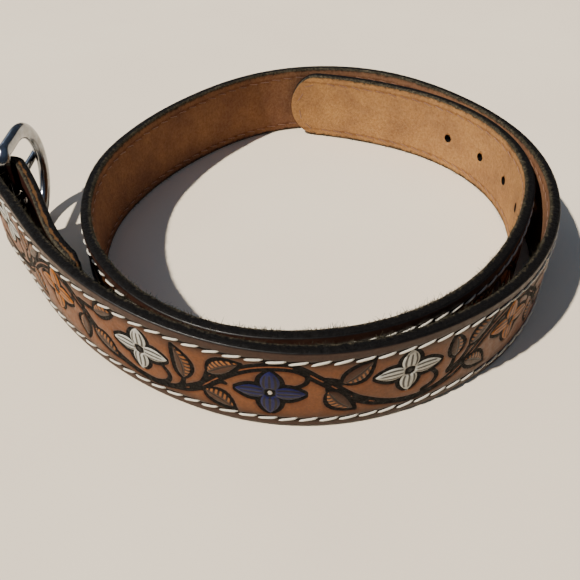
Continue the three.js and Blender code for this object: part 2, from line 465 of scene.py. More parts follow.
def dyed_edge(thickness: float) -> bpy.types.Material:
    """Make the cut edge: black dye that gives way to rough olive fibre near the flesh side.

    The mesh gives the distance out from the strap's middle. In the turn-back, where the dye
    is worn, the tan core shows as a streak.

    Args:
        thickness: The strap's thickness.

    Returns:
        The material.
    """
    # An edge dyed black and rubbed: a dull black with burrs, and bare fibre where the rubbing
    # stopped short.
    edge = Surface("black_burnished_edge", Finish("#0b0908", 0.7, specular=0.12))
    lie = edge.add("UVMap", uv_map="strap_mm")
    along = edge.add("SeparateXYZ", (lie,), "X")
    out = edge.add("Attribute", out="Fac", attribute_name="out")
    burr = edge.cloud(1.5, 0.3, 0.7, -1.2, 1.2, 6.0, 0.75)
    ragged = edge.add("Math", (out, burr), operation="ADD")
    fleck = edge.cloud(1.1, 0.35, 0.65, detail=5.0, roughness=0.7)
    fibre = edge.layer("#1b1712", "#574f3e", fleck)
    black = edge.layer("#040303", "#0d0a08", fleck)
    shade = edge.layer(black, fibre, edge.where((ragged, -thickness * 0.2, -thickness * 0.5)))
    core = edge.add("Math", (out, thickness * 0.1), operation="ADD")
    core = edge.add("Math", (core,), operation="ABSOLUTE")
    core = edge.add("Math", (core, edge.cloud(3.3, 0.3, 0.7, -0.5, 0.5)), operation="ADD")
    streak = edge.where((core, 0.6, 0.2), (along, -14.0, -24.0))
    edge.feed("Base Color", edge.layer(shade, "#54391f", streak))
    edge.feed("Roughness", edge.cloud(2.0, 0.3, 0.7, 0.5, 0.95))
    # Cut fibre bundles are 0.9 mm apart, and the knife's ripple is 3.8 mm long.
    edge.relief((edge.cloud(0.91), 0.9, 0.6), (edge.cloud(3.8, detail=3.0), 0.7, 1.0))
    return edge.material


def suede_back(sizes: StrapSizes) -> bpy.types.Material:
    """Make the flesh side: tan suede, with black dye that crept in from the edges.

    The dye's reach is the distance from the strap's nearer edge, read from the UV map, less
    some noise. In the fold and the turn-back the suede is painted dark red-brown, as shade
    between the plies. The outer turns get painted shade, darker and cooler than the tip.

    Args:
        sizes: Sizes of the strap.

    Returns:
        The material.
    """
    # Split cowhide with its flesh side out: matt and cloudy, with a nap that the stitches
    # press down along both edges.
    suede = Surface("tan_suede_flesh_side", Finish("#b88856", 0.95, specular=0.08))
    half, fold_shade_end = sizes.width / 2, sizes.turn_back_length + 10.0
    lie = suede.add("UVMap", uv_map="strap_mm")
    along, height = (suede.add("SeparateXYZ", (lie,), axis) for axis in "XY")
    away = suede.add("Math", (height, half), operation="SUBTRACT")
    away = suede.add("Math", (away,), operation="ABSOLUTE")
    from_edge = suede.add("Math", (half, away), operation="SUBTRACT")
    creep = suede.cloud(2.4, 0.3, 0.7, -0.8, 1.0, 5.0, 0.7)
    reach = suede.add("Math", (from_edge, creep), operation="ADD")
    pressed = suede.add("Math", (from_edge, 4.4), operation="SUBTRACT")
    pressed = suede.add("Math", (pressed,), operation="ABSOLUTE")
    pressed = suede.add("Math", (creep, 0.5, pressed), operation="MULTIPLY_ADD")
    # The hide's clouds are 18 mm wide, and its flecks of nap 1.4 mm.
    clouds = suede.cloud(18.0, 0.3, 0.72, detail=6.0, roughness=0.65)
    fleck = suede.cloud(1.4, 0.35, 0.68, roughness=0.7)
    tan = suede.layer("#a77d4e", "#846143", clouds)
    tan = suede.layer(tan, "#96704e", fleck, 0.45, "MULTIPLY")
    tan = suede.layer(tan, "#7d5036", suede.where((pressed, 1.0, 0.2)), 0.4, "MULTIPLY")
    # Painted shade: the outer turns are darkened and cooled, while the tip is left as it is.
    tan = suede.layer(tan, "#dcd6f0", suede.where((along, 980.0, 860.0)), blend="MULTIPLY")
    # Painted shade: the flesh side in the fold and between the plies is dark red-brown.
    tan = suede.layer(tan, "#2c130c", suede.where((along, fold_shade_end, fold_shade_end * 0.6)))
    suede.feed("Base Color", suede.layer(tan, "#2b271f", suede.where((reach, 2.3, 0.7))))
    # The nap's tufts are 0.9 mm apart, and its dents 11 mm.
    nap = suede.cloud(0.91, detail=5.0, roughness=0.75)
    suede.relief((nap, 0.8, 0.5), (suede.cloud(11.0, detail=3.0), 0.3, 1.0))
    return suede.material


def loose_fibre() -> bpy.types.Material:
    """Make the fibres that stand out of the cut flesh side.

    Returns:
        The material.
    """
    # Collagen strands that took some black dye: matt, and olive or dark by the 5 mm tuft.
    fibre = Surface("loose_leather_fibre", Finish("#3d3829", 0.85, specular=0.1))
    fibre.feed("Base Color", fibre.layer("#15130f", "#4a4536", fibre.cloud(5.0, 0.35, 0.65, detail=3.0)))
    return fibre.material


def waxed_thread(name: str, colour: str, shade: str) -> bpy.types.Material:
    """Make twisted thread.

    Args:
        name: Material name.
        colour: The thread's colour.
        shade: Its colour in the grooves of the twist, a painted shade.

    Returns:
        The material.
    """
    # Polyester plies twisted and drawn through wax: a soft sheen, and painted shade as a dark
    # line between the plies, which repeats every 0.4 mm of the thread and of its round.
    thread = Surface(name, Finish(colour, 0.55, sheen=0.2))
    lie = thread.add("UVMap", uv_map="twist")
    inputs = {"Vector": lie, "Scale": 1.6, "Distortion": 0.4, "Detail": 1.0}
    twist = thread.add("TexWave", inputs, "Fac", bands_direction="DIAGONAL")
    # Painted shade: the thread darkens in the grooves of its twist.
    thread.feed("Base Color", thread.layer(shade, colour, thread.where((twist, 0.0, 0.5))))
    thread.relief((twist, 0.6, 0.2), (thread.cloud(0.67), 0.3, 0.1))
    return thread.material


def polished_chrome() -> bpy.types.Material:
    """Make the buckle's plated metal, a little hazy from handling.

    Returns:
        The material.
    """
    # Chrome plated on polished steel: a cool mirror, with 4 mm smears of haze where it was
    # handled and a 0.4 mm ripple from the polishing wheel.
    chrome = Surface("polished_chrome_plate", Finish("#8f959d", 0.14, metallic=1.0))
    haze = chrome.cloud(4.2, 0.3, 0.75, detail=5.0, roughness=0.7)
    chrome.feed("Base Color", chrome.layer("#959ba4", "#6d6962", haze))
    chrome.feed("Roughness", chrome.cloud(1.4, 0.3, 0.8, 0.1, 0.26))
    chrome.relief((chrome.cloud(0.38, detail=2.0), 0.06, 0.1))
    return chrome.material


def matt_board() -> bpy.types.Material:
    """Make the floor's surface.

    Returns:
        The material.
    """
    # Painted board: plain and matt, with the 3.3 mm orange peel of a roller.
    board = Surface("pale_matt_board", Finish("#e3d9cb", 0.9, specular=0.1))
    board.feed("Base Color", board.layer("#ebdcc4", "#e5d5be", board.cloud(170.0, 0.3, 0.7, detail=3.0)))
    board.relief((board.cloud(3.3), 0.1, 0.4))
    return board.material


# The strap's route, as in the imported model


@dataclass
class StrapSizes:
    """Sizes of the strap, of its fold and of its holes."""

    width: float = 38.0
    thickness: float = 4.4
    tip_length: float = 16.0
    turn_back_length: float = 80.0
    turn_back_end_thickness: float = 2.4
    turn_back_closing: float = 72.0
    ply_gap: float = 0.4
    fold_slack: float = 1.2
    hole_diameter: float = 4.6
    hole_pitch: float = 25.4
    hole_count: int = 5
    tip_to_first_hole: float = 99.5
    hole_drop: float = 1.0
    coil_radius: float = 120.0
    turn_gap: float = 8.0
    lift_length: float = 210.0
    lift_level: float = 10.0
    buckle_middle: float = 27.25
    bar_radius: float = 3.0
    slot_height: float = 6.4
    slot_back: float = 6.0
    first_turn: tuple = (
        (185.6, 1.236), (195, 1.145), (205, 1.089), (220, 1.042), (235, 1.017), (250, 1.004),
        (265, 0.99), (280, 0.961), (295, 0.93), (310, 0.908), (325, 0.889), (340, 0.88),
        (355, 0.881), (370, 0.891), (385, 0.906), (400, 0.926), (415, 0.96), (430, 0.997),
        (445, 1.004), (460, 0.978), (475, 0.929), (490, 0.881), (505, 0.858), (520, 0.858),
        (535, 0.875),
    )
    second_turn: tuple = (
        (550, 3.93), (565, 2.06), (580, 1.05), (595, 0.42), (610, 0.21), (625, 0.38),
        (640, 0.48), (655, 0.62), (670, 0.88), (685, 0.99), (700, 0.9), (715, 0.6),
        (730, 0.38), (745, 0.31), (760, 0.44), (775, 0.88), (790, 1.33), (803, 1.1), (817, 0.2),
    )

    @property
    def fold_radius(self) -> float:
        """Radius of the strap's middle line round the bar."""
        return self.bar_radius + self.fold_slack + self.thickness / 2

    @property
    def lift_at_bar(self) -> float:
        """How far the buckle end is raised."""
        return self.buckle_middle - self.width / 2


@dataclass
class Stations:
    """Places along the strap: one entry for each."""

    along: Array
    centre: Array
    outward: Array
    lift: Array
    thickness: Array
    fullness: Array


class Route:
    """The strap's middle line with its fold, from the turn-back's end to the tip."""

    def __init__(self, sizes: StrapSizes) -> None:
        """Lay the middle line out.

        Args:
            sizes: Sizes of the strap.
        """
        self.sizes = sizes
        first = np.array(sizes.first_turn)
        second = np.array(sizes.second_turn)
        face = natural_spline(first[:, 0], first[:, 1] * sizes.coil_radius)
        inner = face(second[:, 0] - 360.0) - sizes.thickness - second[:, 1] * sizes.turn_gap
        outline = natural_spline(
            np.r_[first[:, 0], second[:, 0]], np.r_[first[:, 1] * sizes.coil_radius, inner]
        )
        turn = np.linspace(first[0, 0], second[-1, 0], 12000)
        radius = outline(turn) - sizes.thickness / 2
        x, y = radius * np.cos(np.radians(turn)), radius * np.sin(np.radians(turn))
        self.table = np.r_[0.0, np.cumsum(np.hypot(np.diff(x), np.diff(y)))]
        self.x, self.y = x, y
        self.dx, self.dy = np.gradient(x, self.table), np.gradient(y, self.table)
        self.length = float(self.table[-1])
        self.shift = np.zeros(2)
        extent = self.stations(1.0)
        faces = np.vstack(
            [extent.centre + extent.outward * extent.thickness[:, None] / 2 * sign for sign in (1, -1)]
        )
        self.shift = -(faces.min(axis=0) + faces.max(axis=0)) / 2

    def at(self, along: Array) -> tuple[Array, Array]:
        """Find the middle line and the way out of the coil.

        Args:
            along: Distances from the bar.

        Returns:
            Points and outward directions, each of shape (n, 2).
        """
        point = np.stack([np.interp(along, self.table, self.x), np.interp(along, self.table, self.y)], 1)
        forward = np.stack([np.interp(along, self.table, self.dx), np.interp(along, self.table, self.dy)], 1)
        forward /= np.linalg.norm(forward, axis=1, keepdims=True)
        return point + self.shift, np.stack([forward[:, 1], -forward[:, 0]], 1)

    def lift(self, along: Array) -> Array:
        """Give the height that the strap is raised by, easing off as a square.

        Args:
            along: Distances from the bar.

        Returns:
            Heights.
        """
        sizes = self.sizes
        share = np.clip((along - sizes.lift_level) / (sizes.lift_length - sizes.lift_level), 0.0, 1.0)
        return sizes.lift_at_bar * (1.0 - share) ** 2

    @property
    def bar(self) -> Array:
        """Middle of the buckle's bar, seen from above."""
        point, outward = self.at(np.zeros(1))
        return (point - outward * self.sizes.fold_radius)[0]

    @property
    def towards_buckle(self) -> float:
        """Angle of the strap's line where it meets the buckle, in radians."""
        _, outward = self.at(np.zeros(1))
        return math.atan2(-outward[0, 0], outward[0, 1])

    def stations(self, step: float) -> Stations:
        """Place stations from the turn-back's end, round the fold and along to the tip.

        The turn-back's distance from the strap closes from twice the fold's radius to the two
        half thicknesses and the gap. The tip's stations crowd towards its end.

        Args:
            step: Distance between stations.

        Returns:
            The stations. Their along is negative before the strap proper.
        """
        sizes = self.sizes
        arc = math.pi * sizes.fold_radius
        back = np.linspace(sizes.turn_back_length, 0.0, int(sizes.turn_back_length / step), endpoint=False)
        thin = ramp(sizes.turn_back_closing, sizes.turn_back_length, back)
        thick = sizes.thickness + (sizes.turn_back_end_thickness - sizes.thickness) * thin
        closed = (sizes.thickness + thick) / 2 + sizes.ply_gap
        close = ramp(0.0, sizes.turn_back_closing, back)
        offset = 2 * sizes.fold_radius * (1 - close) + closed * close
        point, outward = self.at(back)
        turn_back = point - outward * offset[:, None]
        start, out = self.at(np.zeros(1))
        centre = start - out * sizes.fold_radius
        forward = np.stack([-out[:, 1], out[:, 0]], 1)
        sweep = math.pi * np.linspace(0.0, 1.0, max(10, int(arc / step)), endpoint=False)[:, None]
        fold = centre - out * sizes.fold_radius * np.cos(sweep) - forward * sizes.fold_radius * np.sin(sweep)
        plain = self.length - sizes.tip_length
        run = np.linspace(0.0, plain, int(plain / step), endpoint=False)
        tip = plain + sizes.tip_length * np.sin(np.linspace(0.0, 0.97, max(8, int(24 / step))) * math.pi / 2)
        along = np.r_[run, tip]
        strap, _ = self.at(along)
        centres = np.vstack([turn_back, fold, strap])
        direction = np.gradient(centres, axis=0)
        direction /= np.linalg.norm(direction, axis=1, keepdims=True)
        share = np.maximum(0.0, along - plain) / sizes.tip_length
        folded = -arc * (1.0 - sweep[:, 0] / math.pi)
        return Stations(
            along=np.r_[-arc - back, folded, along],
            centre=centres,
            outward=np.stack([direction[:, 1], -direction[:, 0]], 1),
            lift=np.r_[self.lift(back), np.full(len(sweep), sizes.lift_at_bar), self.lift(along)],
            thickness=np.r_[thick, np.full(len(sweep) + len(along), sizes.thickness)],
            fullness=np.r_[np.ones(len(back) + len(sweep)), np.sqrt(1.0 - share**2)],
        )

    def place(self, along: Array, out: Array, height: Array) -> Array:
        """Turn places on the strap proper into points.

        Args:
            along: Distances from the bar.
            out: Distances from the middle line, outward.
            height: Heights above the strap's lower edge.

        Returns:
            Points of shape (n, 3).
        """
        point, outward = self.at(along)
        flat = point + outward * out[:, None]
        return np.column_stack([flat, height + self.lift(along)])


# The tooling: what is cut and painted, in (along, height) on the strap


class Bloom(Enum):
    """Dyes of the flowers: petal and centre."""

    WHITE = ("#aeaca2", "#0b0908")
    BLUE = ("#070e40", "#dcdad2")
    ORANGE = ("#98560c", "#1a100a")


@dataclass(frozen=True)
class Flower:
    """Four petals about a centre, two along the strap and two across it."""

    along: float
    height: float
    reach: float
    rise: float
    bloom: Bloom


@dataclass(frozen=True)
class Leaf:
    """A pointed leaf, from its root on the stem by its stalk's end to its tip."""

    root: tuple[float, float]
    start: tuple[float, float]
    tip: tuple[float, float]
    width: float
    bend: float = 0.0
    comb: float = 1.0

    @property
    def stalk(self) -> tuple:
        """Points of the stalk, with a knee that leans towards the leaf."""
        (root_along, root_height), (along, height) = self.root, self.start
        knee = (root_along * 0.35 + along * 0.65, root_height * 0.6 + height * 0.4)
        return self.root, knee, self.start


@dataclass
class Tooled:
    """What the tooling makes of a grid of places, one entry for each place."""

    cut: Array
    dye: Array
    across: Array
    phase: Array
    kind: Array
    rise: Array


@dataclass
class Tooling:
    """The repeated ornament, its dyes, and painted shade in the stitch grooves.

    Places are (along, height) pairs on the strap. A cut line is kept as the distance to its
    rim, so that the shader can draw it sharper than the mesh is.
    """

    repeat: float = 196.0
    half: float = 98.0
    first: float = 4.0
    border: float = 4.7
    line_half_width: float = 0.38
    narrow_gap: float = 0.5
    wide_gap: float = 1.15
    far: float = 9.0
    top_row: float = 33.1
    low_row: float = 4.1
    ground: str = "#6e401f"
    ground_low: str = "#391f0e"
    rim: str = "#38231a"
    black: str = "#0a0807"
    stem: str = "#8b5026"
    leaf: str = "#402413"
    flowers: tuple = (
        Flower(68.0, 21.0, 12.6, 10.4, Bloom.ORANGE),
        Flower(115.6, 20.4, 12.7, 10.3, Bloom.WHITE),
        Flower(165.6, 17.3, 13.1, 11.0, Bloom.BLUE),
        Flower(214.6, 22.0, 13.8, 10.4, Bloom.WHITE),
    )
    leaves: tuple = (
        Leaf((85.6, 27.0), (93.8, 27.0), (104.6, 30.8), 6.2, 0.6, 1.0),
        Leaf((87.2, 25.0), (86.6, 20.0), (86.0, 8.0), 6.6, -0.8, -1.0),
        Leaf((88.6, 23.0), (91.6, 16.6), (103.8, 8.6), 7.2, 0.8),
        Leaf((131.0, 9.0), (133.8, 14.5), (130.4, 30.4), 7.2, -1.8, -1.0),
        Leaf((137.0, 11.8), (143.4, 21.8), (155.8, 29.6), 7.4, 0.8),
        Leaf((136.5, 11.4), (141.8, 12.6), (153.0, 5.8), 7.4, 0.9),
        Leaf((184.6, 24.5), (190.2, 22.0), (200.8, 31.8), 7.6, -0.9, -1.0),
        Leaf((184.8, 23.5), (185.4, 18.8), (195.2, 8.0), 7.4, -1.2, -1.0),
        Leaf((231.8, 14.2), (233.8, 20.0), (232.6, 31.6), 6.4, -0.9, -1.0),
        Leaf((232.0, 13.6), (240.6, 22.3), (252.6, 32.0), 6.8, 0.9),
        Leaf((233.6, 13.9), (239.4, 14.8), (250.6, 8.2), 7.4, 0.9),
    )
    vine: tuple = (
        (0.0, 7.0), (6.0, 6.7), (14.4, 8.2), (21.9, 11.6), (26.9, 15.4), (31.9, 20.4),
        (40.6, 27.0), (46.9, 29.5), (53.8, 30.5), (60.6, 29.1), (65.6, 25.4), (71.9, 20.4),
        (78.1, 14.8), (84.4, 11.0), (92.0, 8.3), (98.0, 7.0),
    )
    vine_start: float = 115.6
    tendrils: tuple = (
        ((76.5, 30.0), (80.4, 26.4), (79.7, 22.8), (76.0, 21.2)),
        ((122.6, 7.2), (126.6, 9.6), (127.7, 13.4), (125.0, 17.2)),
        ((174.4, 30.0), (178.2, 26.6), (177.4, 22.6), (173.6, 20.6)),
        ((221.4, 9.2), (225.4, 11.2), (226.6, 14.8), (223.8, 18.6)),
        ((145.4, 16.6), (147.6, 18.4), (149.8, 18.4)),
        ((194.4, 13.6), (197.2, 13.0), (199.4, 11.5)),
    )

    def work(self, along: Array, height: Array, edge: Array, limit: float) -> Tooled:
        """Work the ornament out on a grid of places.

        Args:
            along: Distances from the bar, of shape (rows, columns), rising along the rows.
            height: Heights above the lower edge.
            edge: Distances from the strap's outline.
            limit: Where the ornament ends.

        Returns:
            Distances to the lines, dyes with painted shade in the stitch grooves, and the height of
            the work over the grain.
        """
        shape = along.shape
        low = ramp(8.5, 15.0, np.abs(height - 18.6))[..., None]
        plain = rgb(self.ground) * (1 - low) + rgb(self.ground_low) * low
        band = ramp(self.border, self.border - 1.2, edge)[..., None]
        plain = plain * (1 - band) + rgb(self.rim) * band
        rows = np.minimum(np.abs(height - self.top_row), np.abs(height - self.low_row))
        groove = np.exp(-((rows / 0.9) ** 2))[..., None]
        # Painted shade: the ground darkens along each stitch row's groove, which is also sunk 0.3 mm.
        plain = plain * (1 - 0.6 * groove)
        black = ramp(1.3, 0.5, edge)[..., None]
        plain = plain * (1 - black) + rgb(self.black) * black
        zeros = np.zeros(shape)
        work = Tooled(
            zeros + self.far, plain.copy(), zeros.copy(), zeros.copy(), zeros.copy(), -0.3 * groove[..., 0]
        )
        self._vine(along, height, work)
        turns = range(-1, int(limit / self.repeat) + 1)
        for shift in (self.repeat * turn for turn in turns):
            for tendril in self.tendrils:
                self._stroke(along, height, work, tendril, shift, 0.55)
            for leaf in self.leaves:
                self._stroke(along, height, work, leaf.stalk, shift, 0.6)
            for leaf in self.leaves:
                self._leaf(along, height, work, leaf, shift)
            for flower in self.flowers:
                self._flower(along, height, work, flower, shift)
        worked = ramp(self.border, self.border + 0.5, edge)
        worked *= ramp(self.first, self.first + 1.0, along) * ramp(limit, limit - 1.0, along)
        share = worked[..., None]
        work.dye = plain * (1 - share) + work.dye * share
        work.cut = self.far + (work.cut - self.far) * (worked > 0.5)
        work.kind = work.kind * (worked > 0.5)
        lines = -0.3 * np.exp(-((np.maximum(work.cut, 0.0) / 0.5) ** 2))
        slope = -0.14 * np.exp(-((np.maximum(work.cut, 0.0) / 1.6) ** 2))
        work.rise = work.rise + (lines + slope) * worked
        return work

    @staticmethod
    def _near(along: Array, centre: float, reach: float) -> slice:
        """Find the rows of the grid near a place.

        Args:
            along: The grid's distances from the bar.
            centre: The place.
            reach: How far round it to go.

        Returns:
            Slice of rows.
        """
        rows = along[:, 0]
        return slice(int(np.searchsorted(rows, centre - reach)), int(np.searchsorted(rows, centre + reach)))

    def _vine(self, along: Array, height: Array, work: Tooled) -> None:
        """Draw the stem that winds between the edges: two lines with the stem between.

        The two lines come together where the stem is low, under the white flowers.

        Args:
            along: The grid's distances from the bar.
            height: The grid's heights.
            work: Fields to change.
        """
        points = np.array(self.vine)
        tiled = np.vstack([points[:-1] + [self.half * k, 0.0] for k in (-1, 0, 1)])
        curve = natural_spline(tiled[:, 0], tiled[:, 1])
        place = np.mod(along - self.vine_start, self.half)
        middle = curve(place)
        slope = curve(place + 0.5) - curve(place - 0.5)
        away = (height - middle) / np.sqrt(1.0 + slope**2)
        gap = self.narrow_gap + (self.wide_gap - self.narrow_gap) * ramp(7.5, 11.0, middle)
        fill = ramp(gap + 0.2, gap - 0.2, np.abs(away))[..., None]
        work.dye[:] = work.dye * (1 - fill) + rgb(self.stem) * fill
        np.minimum(work.cut, np.abs(np.abs(away) - gap) - self.line_half_width, out=work.cut)

    def _stroke(
        self, along: Array, height: Array, work: Tooled, nodes: tuple, shift: float, half: float
    ) -> None:
        """Draw a curved stroke that thins to its end.

        Args:
            along: The grid's distances from the bar.
            height: The grid's heights.
            work: Fields to change.
            nodes: Points that the stroke goes through.
            shift: Distance that it is moved along the strap.
            half: Its half width.
        """
        points = np.array(nodes)
        share = np.linspace(0.0, 1.0, len(points))
        fine = np.linspace(0.0, 1.0, 22)
        path = np.stack([natural_spline(share, points[:, k])(fine) for k in (0, 1)], 1)
        path[:, 0] += shift
        reach = float(np.ptp(path[:, 0])) / 2 + 3.0
        rows = self._near(along, float((path[:, 0].max() + path[:, 0].min()) / 2), reach)
        if rows.start >= rows.stop:
            return
        gap = np.hypot(
            along[rows, :, None] - path[None, None, :, 0], height[rows, :, None] - path[None, None, :, 1]
        )
        width = half * (1.15 - 0.35 * fine)
        work.cut[rows] = np.minimum(work.cut[rows], (gap - width).min(axis=-1))

    def _leaf(self, along: Array, height: Array, work: Tooled, leaf: Leaf, shift: float) -> None:
        """Draw one leaf with a scalloped outline.

        Across it, the field runs from -1 to 1, the side with the strokes above nothing. The
        phase counts the strokes along it.

        Args:
            along: The grid's distances from the bar.
            height: The grid's heights.
            work: Fields to change.
            leaf: The leaf.
            shift: Distance that it is moved along the strap.
        """
        start = np.array(leaf.start) + [shift, 0.0]
        run = np.array(leaf.tip) - np.array(leaf.start)
        size = float(np.hypot(*run))
        rows = self._near(along, float(start[0] + run[0] / 2), size)
        if rows.start >= rows.stop:
            return
        dx, dy = along[rows] - start[0], height[rows] - start[1]
        x = (dx * run[0] + dy * run[1]) / size / size
        y = (-dx * run[1] + dy * run[0]) / size
        share = np.clip(x, 0.0, 1.0)
        y = y - leaf.bend * np.sin(math.pi * share)
        phase = share * size / 1.75 + 0.22 * np.abs(y)
        scallop = 0.16 * np.abs(np.sin(math.pi * phase)) * ramp(0.0, 0.2, share) * ramp(1.0, 0.8, share)
        half = leaf.width / 2 * np.sin(math.pi * share**0.78) ** 0.85 + scallop
        ends = np.maximum(np.maximum(-x, x - 1.0), 0.0) * size
        away = np.where(ends > 0, np.hypot(ends, np.abs(y)), (np.abs(y) - half) * 0.88)
        inside = ramp(0.15, -0.15, away)
        self._overlay(work, rows, inside, rgb(self.leaf), away)
        work.across[rows] = np.where(away < 0.3, leaf.comb * y / np.maximum(half, 0.1), work.across[rows])
        work.phase[rows] = np.where(away < 0.3, phase, work.phase[rows])
        work.kind[rows] = np.where(away < 0.1, 1.0, work.kind[rows])
        work.rise[rows] += 0.14 * ramp(0.0, -1.4, away)

    def _flower(self, along: Array, height: Array, work: Tooled, flower: Flower, shift: float) -> None:
        """Draw one flower: four pointed petals and a round centre.

        Across each petal, the field runs from -1 to 1, and the phase is the share of its length.

        Args:
            along: The grid's distances from the bar.
            height: The grid's heights.
            work: Fields to change.
            flower: The flower.
            shift: Distance that it is moved along the strap.
        """
        rows = self._near(along, flower.along + shift, flower.reach + 2.0)
        if rows.start >= rows.stop:
            return
        dx, dy = along[rows] - flower.along - shift, height[rows] - flower.height
        petal, centre = flower.bloom.value
        nearest = np.full(dx.shape, self.far)
        across, phase = np.zeros(dx.shape), np.zeros(dx.shape)
        for turn in range(4):
            size = flower.reach if turn % 2 == 0 else flower.rise
            x = (dx, dy, -dx, -dy)[turn] / size
            y = (dy, dx, dy, dx)[turn]
            share = np.clip(x, 0.0, 1.0)
            wide, blunt = (3.8, 0.8) if turn % 2 == 0 else (4.2, 0.62)
            half = wide * np.sin(math.pi * share**0.86) ** blunt
            away = np.where((x < 0) | (x > 1), self.far, (np.abs(y) - half) * 0.85)
            closer = away < nearest
            across = np.where(closer, y / np.maximum(half, 0.1), across)
            phase = np.where(closer, share, phase)
            nearest = np.minimum(nearest, away)
        inside = ramp(0.15, -0.15, nearest)
        self._overlay(work, rows, inside, rgb(petal), nearest)
        work.across[rows] = np.where(nearest < 0.3, across, work.across[rows])
        work.phase[rows] = np.where(nearest < 0.3, phase, work.phase[rows])
        work.kind[rows] = np.where(nearest < 0.1, 2.0, work.kind[rows])
        work.rise[rows] += 0.24 * ramp(0.0, -1.8, nearest)
        ring = np.hypot(dx, dy)
        disc = ramp(1.75, 1.45, ring)
        work.dye[rows] = work.dye[rows] * (1 - disc[..., None]) + rgb(centre) * disc[..., None]
        work.cut[rows] = np.where(ring < 2.6, np.abs(ring - 1.75) - 0.28, work.cut[rows])
        work.kind[rows] = np.where(ring < 2.1, 0.0, work.kind[rows])
        work.rise[rows] -= 0.2 * disc

    def _overlay(self, work: Tooled, rows: slice, inside: Array, dye: Array, away: Array) -> None:
        """Lay a dyed shape over what is there and cut its outline.

        Args:
            work: Fields to change.
            rows: Rows of the grid that the shape is in.
            inside: Share of the dye.
            dye: Linear colour.
            away: Distances from the shape's outline, negative inside.
        """
        share = inside[..., None]
        work.dye[rows] = work.dye[rows] * (1 - share) + dye * share
        under = np.where(away < 0.0, self.far, work.cut[rows])
        work.cut[rows] = np.minimum(under, np.abs(away) - self.line_half_width)


# Sub-assemblies


